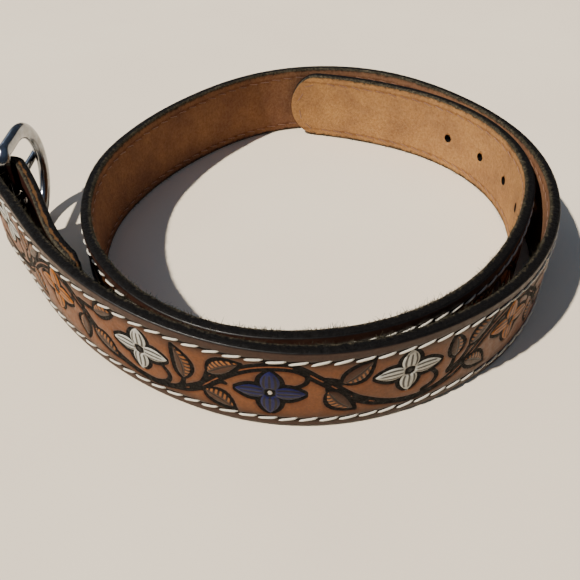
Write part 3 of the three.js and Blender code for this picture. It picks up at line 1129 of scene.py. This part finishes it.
@dataclass
class Strap:
    """The strap: a body with dyed edges and a suede back, under a tooled grain skin."""

    sizes: StrapSizes
    route: Route
    tooling: Tooling = field(default_factory=Tooling)
    skin_thickness: float = 0.5
    corner: float = 1.0
    face_points: int = 5
    corner_points: int = 5
    back_points: int = 13
    body_step: float = 1.5
    skin_step: float = 0.43
    skin_columns: int = 90
    skin_pieces: int = 4

    def build(self) -> list[bpy.types.Object]:
        """Make the strap's pieces.

        Returns:
            The body, then the skins.
        """
        body = self._body()
        return [body, *self._skins()]

    def _section(self, thickness: Array) -> tuple[Array, Array, Array]:
        """Give the body's section, once round, with rounded corners.

        Args:
            thickness: Thickness at each station.

        Returns:
            Outward distance by station and point, height share from -1 to 1 less a fixed inset,
            and that inset; the last two by point.
        """
        quarter = np.linspace(0.0, math.pi / 2, self.corner_points)
        r = self.corner
        face = np.linspace(-1.0, 1.0, self.face_points + 2)[1:-1]
        back = np.linspace(1.0, -1.0, self.back_points + 2)[1:-1]
        lean = np.r_[
            1.0 + 0 * face, np.cos(quarter), [0.0], -np.cos(quarter[::-1]),
            -1.0 + 0 * back, -np.cos(quarter), [0.0], np.cos(quarter[::-1]),
        ]
        rise = np.r_[
            face, 1.0 + 0 * quarter, [1.0], 1.0 + 0 * quarter,
            back, -1.0 + 0 * quarter, [-1.0], -1.0 + 0 * quarter,
        ]
        inset = np.r_[
            0 * face, r * (1 - np.sin(quarter)), [-0.12], r * (1 - np.sin(quarter[::-1])),
            0 * back, r * (1 - np.sin(quarter)), [-0.12], r * (1 - np.sin(quarter[::-1])),
        ]
        flat = np.r_[
            0 * face, 1.0 + 0 * quarter, [0.0], 1.0 + 0 * quarter,
            0 * back, 1.0 + 0 * quarter, [0.0], 1.0 + 0 * quarter,
        ]
        half = thickness[:, None] / 2
        limit = np.minimum(r, half * 0.9)
        out = np.where(flat > 0, np.sign(lean) * (half - limit) + lean * limit, lean * half)
        out = np.where(out > 0, out * (1 - self.skin_thickness / thickness[:, None]), out)
        return out, rise, inset

    def _body(self) -> bpy.types.Object:
        """Make the body, with the holes and the slot cut through it.

        Returns:
            The body's object.
        """
        stations = self.route.stations(self.body_step)
        out, rise, inset = self._section(stations.thickness)
        half = self.sizes.width / 2
        up = rise[None] * half - np.sign(rise)[None] * inset[None]
        up = up * stations.fullness[:, None]
        flat = stations.centre[:, None] + stations.outward[:, None] * out[..., None]
        z = half + up + stations.lift[:, None]
        points = np.dstack([flat, z])
        rows, columns = z.shape
        middles = np.array([points[0].mean(axis=0), points[-1].mean(axis=0)])
        ring = np.arange(columns)
        after = (ring + 1) % columns
        last = (rows - 1) * columns
        count = rows * columns
        first_fan = np.column_stack([ring, after, np.full(columns, count)])
        last_fan = np.column_stack([last + after, last + ring, np.full(columns, count + 1)])
        every = np.vstack([points.reshape(-1, 3), middles])
        piece = make_object("strap_body", every, grid_faces(rows, columns, wrap_columns=True))
        self._close_ends(piece, np.vstack([first_fan, last_fan]))
        uv = np.column_stack([np.repeat(stations.along, columns), (half + up).ravel()])
        uv = np.vstack([uv, [[stations.along[0], half], [stations.along[-1], half]]])
        store_uv(piece, "strap_mm", uv)
        store(piece, "out", np.r_[out.ravel(), 0.0, 0.0])
        for leather in (dyed_edge(self.sizes.thickness), suede_back(self.sizes)):
            piece.data.materials.append(leather)
        column = np.tile(ring, rows - 1)
        back = self.face_points + 2 * self.corner_points + 1
        kinds = np.zeros(len(piece.data.polygons), dtype=np.int32)
        kinds[: len(column)] = (column >= back - 1) & (column <= back + self.back_points)
        piece.data.polygons.foreach_set("material_index", kinds)
        self._cut(piece)
        return piece

    @staticmethod
    def _close_ends(piece: bpy.types.Object, triangles: Array) -> None:
        """Add the fans of triangles that close a swept mesh.

        Args:
            piece: Object to close.
            triangles: Array of shape (m, 3).
        """
        mesh = piece.data
        loops, polygons = len(mesh.loops), len(mesh.polygons)
        mesh.loops.add(triangles.size)
        mesh.polygons.add(len(triangles))
        corners = np.empty(len(mesh.loops), dtype=np.int32)
        mesh.loops.foreach_get("vertex_index", corners)
        corners[loops:] = triangles.ravel()
        mesh.loops.foreach_set("vertex_index", corners)
        starts = np.empty(len(mesh.polygons), dtype=np.int32)
        mesh.polygons.foreach_get("loop_start", starts)
        starts[polygons:] = loops + 3 * np.arange(len(triangles))
        mesh.polygons.foreach_set("loop_start", starts)
        mesh.polygons.foreach_set("use_smooth", np.ones(len(mesh.polygons), dtype=bool))
        mesh.update(calc_edges=True)

    def hole_places(self) -> Array:
        """List the holes' distances from the bar.

        Returns:
            Distances.
        """
        sizes = self.sizes
        return self.route.length - sizes.tip_to_first_hole - sizes.hole_pitch * np.arange(sizes.hole_count)

    def _cut(self, piece: bpy.types.Object) -> None:
        """Cut the holes and the slot through a piece.

        Args:
            piece: Object to cut.
        """
        sizes = self.sizes
        cutters = []
        turn = np.linspace(0.0, 2 * math.pi, 32, endpoint=False)
        for along in self.hole_places():
            point, outward = self.route.at(np.array([along]))
            z = sizes.width / 2 - sizes.hole_drop + float(self.route.lift(np.array([along]))[0])
            side = np.array([-outward[0, 1], outward[0, 0]])
            r = sizes.hole_diameter / 2 - 0.1
            rings = []
            for reach in (-6.0, 6.0):
                flat = point + outward * reach + side[None] * (r * np.cos(turn))[:, None]
                rings.append(np.column_stack([flat, z + r * np.sin(turn)]))
            cutters.append(self._prism("hole_cutter", *rings))
        heading = self.route.towards_buckle
        ahead = np.array([math.cos(heading), math.sin(heading)])
        across = np.array([-ahead[1], ahead[0]])
        reach = sizes.fold_radius + sizes.thickness
        rings = []
        for side in (reach, -reach):
            flat = self.route.bar + across * side
            h = sizes.slot_height / 2
            corners = [(-sizes.slot_back, -h), (reach, -h), (reach, h), (-sizes.slot_back, h)]
            rings.append(np.array([[*(flat + ahead * a), sizes.buckle_middle + b] for a, b in corners]))
        cutters.append(self._prism("slot_cutter", *rings))
        for cutter in cutters:
            modifier = piece.modifiers.new("cut", "BOOLEAN")
            modifier.operation = "DIFFERENCE"
            modifier.solver = "EXACT"
            modifier.object = cutter
        graph = bpy.context.evaluated_depsgraph_get()
        cut = bpy.data.meshes.new_from_object(piece.evaluated_get(graph))
        piece.modifiers.clear()
        piece.data = cut
        for cutter in cutters:
            bpy.data.objects.remove(cutter)

    @staticmethod
    def _prism(name: str, first: Array, second: Array) -> bpy.types.Object:
        """Make a closed prism between two rings of points.

        Args:
            name: Object name.
            first: Ring at one end.
            second: Ring at the other end.

        Returns:
            The object.
        """
        count = len(first)
        ring = np.arange(count)
        after = (ring + 1) % count
        mesh = bpy.data.meshes.new(name)
        sides = np.column_stack([ring, after, count + after, count + ring]).tolist()
        caps = [list(range(count))[::-1], list(range(count, 2 * count))]
        mesh.from_pydata((np.vstack([first, second]) / 1000.0).tolist(), [], sides + caps)
        mesh.update()
        piece = bpy.data.objects.new(name, mesh)
        bpy.context.scene.collection.objects.link(piece)
        return piece

    def _skins(self) -> list[bpy.types.Object]:
        """Make the tooled skins over the grain side, one behind the other along the strap.

        The skin's border dips into the body, so that it has no open rim to see.

        Returns:
            The skins' objects.
        """
        sizes = self.sizes
        stations = self.route.stations(self.skin_step)
        low, high = self.corner * 0.55, sizes.width - self.corner * 0.55
        across = np.r_[low - 0.25, low, np.linspace(low, high, self.skin_columns)[1:-1], high, high + 0.25]
        half = sizes.width / 2
        height = half + (across[None] - half) * stations.fullness[:, None]
        along = np.broadcast_to(stations.along[:, None], height.shape).copy()
        edge = np.minimum(height, sizes.width - height)
        plain = self.route.length - sizes.tip_length
        share = np.maximum(along - plain, 0.0) / sizes.tip_length
        round_end = (1.0 - np.hypot(share, (height - half) / half)) * half * 0.9
        edge = np.where(along > plain - 3.0, np.minimum(edge, round_end), edge)
        work = self.tooling.work(along, height, edge, self.route.length - 24.0)
        lift = work.rise - 0.35 * ramp(0.9, 0.0, edge)
        lift[:, [0, -1]] = -self.skin_thickness - 0.2
        lift[[0, -1], :] = -self.skin_thickness - 0.2
        out = stations.thickness[:, None] / 2 + lift
        flat = stations.centre[:, None] + stations.outward[:, None] * out[..., None]
        points = np.dstack([flat, height + stations.lift[:, None]])
        keep = self._open_cells(along, height)
        material = tooled_leather()
        rows, columns = height.shape
        bounds = np.linspace(0, rows - 1, self.skin_pieces + 1).astype(int)
        skins = []
        for number, (first, last) in enumerate(zip(bounds[:-1], bounds[1:])):
            count = last - first + 1
            quads = grid_faces(count, columns)
            quads = quads[keep[first:last].ravel()]
            piece = make_object(f"tooled_face_{number + 1}", points[first : last + 1].reshape(-1, 3), quads)
            part = slice(first, last + 1)
            # The dye also holds the painted shade of the stitch grooves.
            store(piece, "dye", work.dye[part].reshape(-1, 3))
            for name in ("cut", "across", "phase", "kind"):
                store(piece, name, getattr(work, name)[part].ravel())
            piece.data.materials.append(material)
            skins.append(piece)
        return skins

    def _open_cells(self, along: Array, height: Array) -> Array:
        """Find the skin's cells that lie over neither a hole nor the slot.

        Args:
            along: The grid's distances from the bar.
            height: The grid's heights.

        Returns:
            Array of truth values by cell.
        """
        sizes = self.sizes
        s = (along[1:, 1:] + along[:-1, :-1]) / 2
        z = (height[1:, 1:] + height[:-1, :-1]) / 2
        keep = np.ones(s.shape, dtype=bool)
        for place in self.hole_places():
            gap = np.hypot(s - place, z - (sizes.width / 2 - sizes.hole_drop))
            keep &= gap > sizes.hole_diameter / 2 - 0.15
        arc = math.pi * sizes.fold_radius
        slotted = (s > -arc - sizes.slot_back - 1.0) & (s < sizes.slot_back)
        keep &= ~(slotted & (np.abs(z - sizes.width / 2) < sizes.slot_height / 2))
        return keep


@dataclass
class Stitching:
    """Rows of thread along both edges and round the tip, on both faces."""

    sizes: StrapSizes
    route: Route
    length: float = 6.8
    width: float = 1.02
    crown: float = 0.45
    slant: float = 0.5
    hook: float = 0.6
    top_height: float = 33.1
    low_height: float = 4.1
    top_pitch: float = 7.45
    low_pitch: float = 7.17
    top_first: float = 145.5
    low_first: float = 143.1
    tip_margin: float = 18.0
    tip_reach: float = 11.2
    tip_turns: tuple = (-62.0, -22.0, 22.0, 62.0)
    rings: int = 7
    sides: int = 6

    def _places(self) -> tuple[Array, Array, Array]:
        """List the stitches: middle along, middle height and lean of each.

        Returns:
            Three arrays of equal length.
        """
        end = self.route.length - self.tip_margin
        top = np.arange(self.top_first % self.top_pitch + self.top_pitch, end, self.top_pitch)
        low = np.arange(self.low_first % self.low_pitch + self.low_pitch, end, self.low_pitch)
        turns = np.radians(self.tip_turns)
        middle = (self.top_height + self.low_height) / 2
        reach = (self.top_height - self.low_height) / 2
        tip = self.route.length - self.sizes.tip_length + self.tip_reach * np.cos(turns)
        along = np.r_[top, low, tip]
        height = np.r_[top * 0 + self.top_height, low * 0 + self.low_height, middle + reach * np.sin(turns)]
        lean = np.r_[top * 0, low * 0, turns + math.pi / 2]
        return along, height, lean

    def build(self) -> list[bpy.types.Object]:
        """Make the white rows outside and the dull rows inside.

        Returns:
            Two objects.
        """
        white = self._row("stitches_outside", Side.GRAIN, self.width, self.crown)
        white.data.materials.append(waxed_thread("white_waxed_thread", "#e9e2d2", "#9c927c"))
        dull = self._row("stitches_inside", Side.FLESH, self.width * 0.6, self.crown * 0.5)
        dull.data.materials.append(waxed_thread("rubbed_brown_thread", "#8d5f41", "#5a3826"))
        return [white, dull]

    def _row(self, name: str, side: Side, width: float, crown: float) -> bpy.types.Object:
        """Make all the stitches on one face as one object.

        Each stitch is a bowed tube: its height over the face goes as the root of one less the
        square of its share, and both its ends go into the leather.

        Args:
            name: Object name.
            side: Face that they lie on.
            width: The thread's width.
            crown: Height of the stitch over the face.

        Returns:
            The object.
        """
        along, height, lean = self._places()
        rng = np.random.default_rng(7)
        count = len(along)
        share = np.linspace(-1.0, 1.0, self.rings)
        turn = np.linspace(0.0, 2 * math.pi, self.sides, endpoint=False)
        size = self.length / 2 * (1 + rng.normal(0.0, 0.03, count))
        slant = self.slant * (1 + rng.normal(0.0, 0.2, count))
        x = size[:, None] * share[None]
        bow = share - self.hook / self.slant * ((1.0 - share) / 2.0) ** 5
        y = slant[:, None] * bow[None] + rng.normal(0.0, 0.08, count)[:, None]
        tilt_cos, tilt_sin = np.cos(lean)[:, None], np.sin(lean)[:, None]
        s = along[:, None] + x * tilt_cos - y * tilt_sin
        z = height[:, None] + x * tilt_sin + y * tilt_cos
        lift = crown * np.sqrt(np.maximum(1.0 - share**2, 0.0)) - 0.25
        thin = (1.0 - 0.55 * np.abs(share) ** 5) * width / 2
        upward = np.cos(turn)
        sideways = np.sin(turn)
        ring_s = s[..., None] - (thin[None, :, None] * sideways) * tilt_sin[..., None]
        ring_z = z[..., None] + (thin[None, :, None] * sideways) * tilt_cos[..., None]
        ring_h = lift[None, :, None] + 0.75 * thin[None, :, None] * upward
        out = side.value * (self.sizes.thickness / 2 + ring_h)
        out = np.broadcast_to(out, ring_s.shape)
        points = self.route.place(ring_s.ravel(), out.ravel(), ring_z.ravel())
        one = tube_faces(self.rings, self.sides)[:, :: int(side.value)]
        faces = copies(one, self.rings * self.sides, count)
        piece = make_object(name, points, faces)
        u = np.repeat(np.tile(share * self.length / 2, count), self.sides)
        v = np.tile(turn / (2 * math.pi) * 3.0, count * self.rings)
        store_uv(piece, "twist", np.column_stack([u, v]))
        return piece


@dataclass
class Fibres:
    """Short fibres that stand up along the inner rim of the strap's cut edges."""

    sizes: StrapSizes
    route: Route
    count: int = 6500
    top_share: float = 0.8
    width: float = 0.2
    shortest: float = 0.4
    longest: float = 1.5
    joints: int = 3
    sides: int = 4

    def build(self) -> bpy.types.Object:
        """Make all the fibres as one object.

        Each fibre leaves the rim at a random lean and bends over as the square of its share.
        They crowd together where a slow wave along the strap is high.

        Returns:
            The object.
        """
        rng = np.random.default_rng(11)
        end = self.route.length - self.sizes.tip_length - 2.0
        along = rng.uniform(6.0, end, self.count * 3)
        wave = 0.5 + 0.3 * np.sin(along / 5.3 + 2 * np.sin(along / 17.0)) + 0.2 * np.sin(along / 1.9)
        along = along[rng.uniform(0.0, 1.0, len(along)) < wave][: self.count]
        count = len(along)
        top = rng.uniform(0.0, 1.0, count) < self.top_share
        size = self.shortest + (self.longest - self.shortest) * rng.uniform(0.0, 1.0, count) ** 2.6
        rim = rng.uniform(0.0, 1.5, count)
        depth = rng.uniform(0.0, 1.1, count)
        half = self.sizes.width / 2
        sign = np.where(top, 1.0, -1.0)
        lean = rng.normal(0.0, 0.8, (count, 3)) + np.array([0.0, -0.8, 0.0])
        lean[:, 2] = sign * (0.35 + np.abs(lean[:, 2]))
        lean[~top, 2] *= 0.1
        lean /= np.linalg.norm(lean, axis=1, keepdims=True)
        curl = rng.normal(0.0, 0.5, (count, 3))
        share = np.linspace(0.0, 1.0, self.joints)
        grown = share[None, :, None]
        step = size[:, None, None] * (lean[:, None] * grown + curl[:, None] * grown**2)
        turn = np.linspace(0.0, 2 * math.pi, self.sides, endpoint=False)
        thin = self.width / 2 * (1.0 - 0.6 * share)
        s = (along[:, None] + step[..., 0])[..., None] + (thin[:, None] * np.cos(turn))[None]
        base_out = -(self.sizes.thickness / 2) + 0.15 + rim * 0.35
        out = (base_out[:, None] + step[..., 1])[..., None] + (thin[:, None] * np.sin(turn))[None]
        start = half + sign * (half - 0.25 - depth * (rim < 0.5))
        up = np.broadcast_to((start[:, None] + step[..., 2])[..., None], s.shape)
        points = self.route.place(s.ravel(), out.ravel(), np.maximum(up, 0.15).ravel())
        faces = copies(tube_faces(self.joints, self.sides), self.joints * self.sides, count)
        piece = make_object("loose_fibres", points, faces)
        piece.data.materials.append(loose_fibre())
        return piece


@dataclass
class Buckle:
    """The metal frame, which is a rounded D on a round heel bar, and its tongue."""

    route: Route
    middle: float = 27.25
    bar_radius: float = 3.0
    bar_half_length: float = 19.0
    half_height: float = 23.5
    limb_width: float = 7.5
    limb_thickness: float = 4.8
    limb_straight: float = 12.5
    reach: float = 41.3
    swing_degrees: float = -32.0
    tongue_width: float = 5.0
    tongue_thickness: float = 2.6
    tongue_overhang: float = 3.0
    tongue_sides: int = 24
    tongue_rings: int = 60
    hook_wall: float = 2.0
    running_gap: float = 0.3

    def build(self) -> list[bpy.types.Object]:
        """Make the frame and the tongue.

        Returns:
            Two objects.
        """
        chrome = polished_chrome()
        pieces = [self._frame(), self._tongue()]
        for piece in pieces:
            piece.data.materials.append(chrome)
        return pieces

    def _to_world(self, reach: Array, out: Array, up: Array) -> Array:
        """Turn places in the buckle's own frame into points.

        Args:
            reach: Distances from the bar towards the bow.
            out: Distances towards the outer side.
            up: Heights over the buckle's middle.

        Returns:
            Points of shape (n, 3).
        """
        heading = self.route.towards_buckle + math.radians(self.swing_degrees)
        c, s = math.cos(heading), math.sin(heading)
        bar = self.route.bar
        x = bar[0] + reach * c - out * s
        y = bar[1] + reach * s + out * c
        return np.column_stack([x.ravel(), y.ravel(), (self.middle + up).ravel()])

    def _path(self) -> Array:
        """Trace the frame's middle line as a closed D.

        Returns:
            Points of shape (n, 2): reach and height.
        """
        corner = self.half_height - self.bar_half_length
        start = corner + self.limb_straight
        bow = np.linspace(math.pi / 2, -math.pi / 2, 200)
        top = np.linspace(math.pi, math.pi / 2, 30)
        arc = np.stack([corner + corner * np.cos(top), self.bar_half_length + corner * np.sin(top)], 1)
        bend = np.stack([start + (self.reach - start) * np.cos(bow), self.half_height * np.sin(bow)], 1)
        bar = np.stack([np.zeros(20), np.linspace(-self.bar_half_length, self.bar_half_length, 20)], 1)
        path = np.vstack([bar[:-1], arc, bend, (arc * [1, -1])[::-1]])
        step = np.r_[0.0, np.cumsum(np.hypot(*np.diff(np.vstack([path, path[:1]]), axis=0).T))]
        even = np.linspace(0.0, step[-1], 260, endpoint=False)
        closed = np.vstack([path, path[:1]])
        return np.stack([np.interp(even, step, closed[:, k]) for k in (0, 1)], 1)

    def _frame(self) -> bpy.types.Object:
        """Make the frame: an oval limb that turns into the round bar.

        Returns:
            The object.
        """
        path = self._path()
        ahead = np.roll(path, -1, axis=0) - np.roll(path, 1, axis=0)
        ahead /= np.linalg.norm(ahead, axis=1, keepdims=True)
        corner = self.half_height - self.bar_half_length
        limb = ramp(0.0, corner, path[:, 0])
        wide = self.bar_radius + (self.limb_width / 2 - self.bar_radius) * limb
        thick = self.bar_radius + (self.limb_thickness / 2 - self.bar_radius) * limb
        turn = np.linspace(0.0, 2 * math.pi, 32, endpoint=False)
        side = wide[:, None] * np.cos(turn)
        reach = path[:, :1] - ahead[:, 1:] * side
        up = path[:, 1:] + ahead[:, :1] * side
        out = thick[:, None] * np.sin(turn)
        points = self._to_world(reach, out, up)
        faces = grid_faces(len(path), 32, wrap_rows=True, wrap_columns=True)
        return make_object("polished_frame", points, faces)

    def _tongue(self) -> bpy.types.Object:
        """Make the tongue: a hook round the bar and a shank with rounded edges.

        Returns:
            The object.
        """
        under = self.limb_thickness / 2 + self.running_gap
        over = under + self.tongue_thickness
        hook = self.bar_radius + self.running_gap + self.hook_wall
        inner = self.bar_radius + self.running_gap
        end = self.reach + self.tongue_overhang
        radius = (hook + inner) / 2
        count = self.tongue_rings
        sweep = np.linspace(math.radians(20.0), math.radians(-250.0), count)
        line_x = np.linspace(4.0, end, count)
        line_y = np.full(count, (under + over) / 2)
        x = np.r_[radius * np.cos(sweep), line_x]
        y = np.r_[radius * np.sin(sweep), line_y]
        half = np.repeat([self.hook_wall, self.tongue_thickness], count) / 2 - 0.05
        taper = np.r_[np.ones(count), 1.0 - 0.22 * ramp(10.0, end, line_x)]
        ahead = np.stack([np.gradient(x), np.gradient(y)], 1)
        ahead /= np.linalg.norm(ahead, axis=1, keepdims=True)
        turn = np.linspace(0.0, 2 * math.pi, self.tongue_sides, endpoint=False)
        box_out, box_up = (np.sign(wave) * np.abs(wave) ** 0.55 for wave in (np.cos(turn), np.sin(turn)))
        side = half[:, None] * box_out
        reach = x[:, None] - ahead[:, 1:] * side
        out = y[:, None] + ahead[:, :1] * side
        up = (self.tongue_width / 2 * taper)[:, None] * box_up
        points = self._to_world(reach, out, up)
        return make_object("polished_tongue", points, tube_faces(len(x), self.tongue_sides)[:, ::-1])


@dataclass
class Studio:
    """Floor, light and camera."""

    centre: Array
    focal_length: float = 41.74
    camera_right: float = -14.44
    camera_back: float = 271.7
    camera_height: float = 196.14
    camera_tilt: float = 49.544
    sun: tuple = (0.68, 0.42, -1.0)
    floor_size: float = 3.0
    sun_strength: float = 7.2
    window_strength: float = 2.5
    sky_strength: float = 0.33
    sky_levels: tuple = (-0.1, 0.9)
    sky_colours: tuple = ("#676c75", "#b2c7ea")

    def build(self) -> None:
        """Make the floor, the lights and the camera."""
        self._floor()
        self._light()
        self._camera()

    def _floor(self) -> None:
        """Make the pale floor that the belt stands on."""
        half = self.floor_size * 500.0
        corners = np.array([[-half, -half, 0.0], [half, -half, 0.0], [half, half, 0.0], [-half, half, 0.0]])
        floor = make_object("floor", corners, np.array([[0, 1, 2, 3]]), smooth=False)
        floor.data.materials.append(matt_board())

    def _light(self) -> None:
        """Make a soft key light from the front left and a cool sky."""
        sun = bpy.data.lights.new("key", "SUN")
        sun.energy = self.sun_strength
        sun.angle = math.radians(1.6)
        sun.color = (1.0, 0.955, 0.88)
        key = bpy.data.objects.new("key", sun)
        direction = np.array(self.sun) / np.linalg.norm(self.sun)
        tilt = math.acos(-direction[2])
        turn = math.atan2(direction[1], direction[0])
        key.rotation_euler = (0.0, -tilt, turn)
        bpy.context.scene.collection.objects.link(key)
        window = bpy.data.lights.new("window", "AREA")
        window.shape = "RECTANGLE"
        window.size, window.size_y = 0.9, 0.5
        window.energy = self.window_strength
        window.color = (0.72, 0.84, 1.0)
        pane = bpy.data.objects.new("window", window)
        pane.location = (-0.9, 1.1, 0.9)
        pane.rotation_euler = (math.radians(-52.0), 0.0, math.radians(39.0))
        bpy.context.scene.collection.objects.link(pane)
        world = bpy.data.worlds.new("sky")
        world.use_nodes = True
        tree = world.node_tree
        place = add_node(tree, "TexCoord", out="Generated")
        level = add_node(tree, "SeparateXYZ", (place,), "Z")
        share = add_node(tree, "MapRange", (level, *self.sky_levels))
        low, high = (linear(colour) for colour in self.sky_colours)
        sky = add_node(tree, "Mix", {0: share, 6: low, 7: high}, 2, data_type="RGBA")
        background = tree.nodes["Background"]
        tree.links.new(sky, background.inputs["Color"])
        background.inputs["Strength"].default_value = self.sky_strength
        bpy.context.scene.world = world

    def _camera(self) -> None:
        """Make the camera at the photograph's place and angle."""
        data = bpy.data.cameras.new("camera")
        data.sensor_width = 36.0
        data.lens = self.focal_length
        camera = bpy.data.objects.new("camera", data)
        x, y = self.centre[0] + self.camera_right, self.centre[1] - self.camera_back
        camera.location = (x / 1000.0, y / 1000.0, self.camera_height / 1000.0)
        camera.rotation_euler = (math.radians(self.camera_tilt), 0.0, 0.0)
        bpy.context.scene.collection.objects.link(camera)
        bpy.context.scene.camera = camera


def main() -> None:
    """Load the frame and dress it."""
    logging.basicConfig(level=logging.INFO)
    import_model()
    sizes = StrapSizes()
    route = Route(sizes)
    LOG.info("strap: %.0f mm from the bar to the tip", route.length)
    Studio(centre=route.shift).build()
    body, *skins = Strap(sizes, route).build()
    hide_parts("strap")
    stitches = Stitching(sizes, route).build()
    fibres = Fibres(sizes, route).build()
    for piece in (body, *skins, *stitches, fibres):
        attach(piece, Body.STRAP.value)
    metal = Buckle(route).build()
    for piece, node in zip(metal, ("buckle_frame", "tongue")):
        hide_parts(node)
        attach(piece, Body.BUCKLE.value)
    for piece in (body, *skins, *stitches, fibres, *metal):
        LOG.info("%s: %d faces", piece.name, len(piece.data.polygons))


if __name__ == "__main__":
    main()
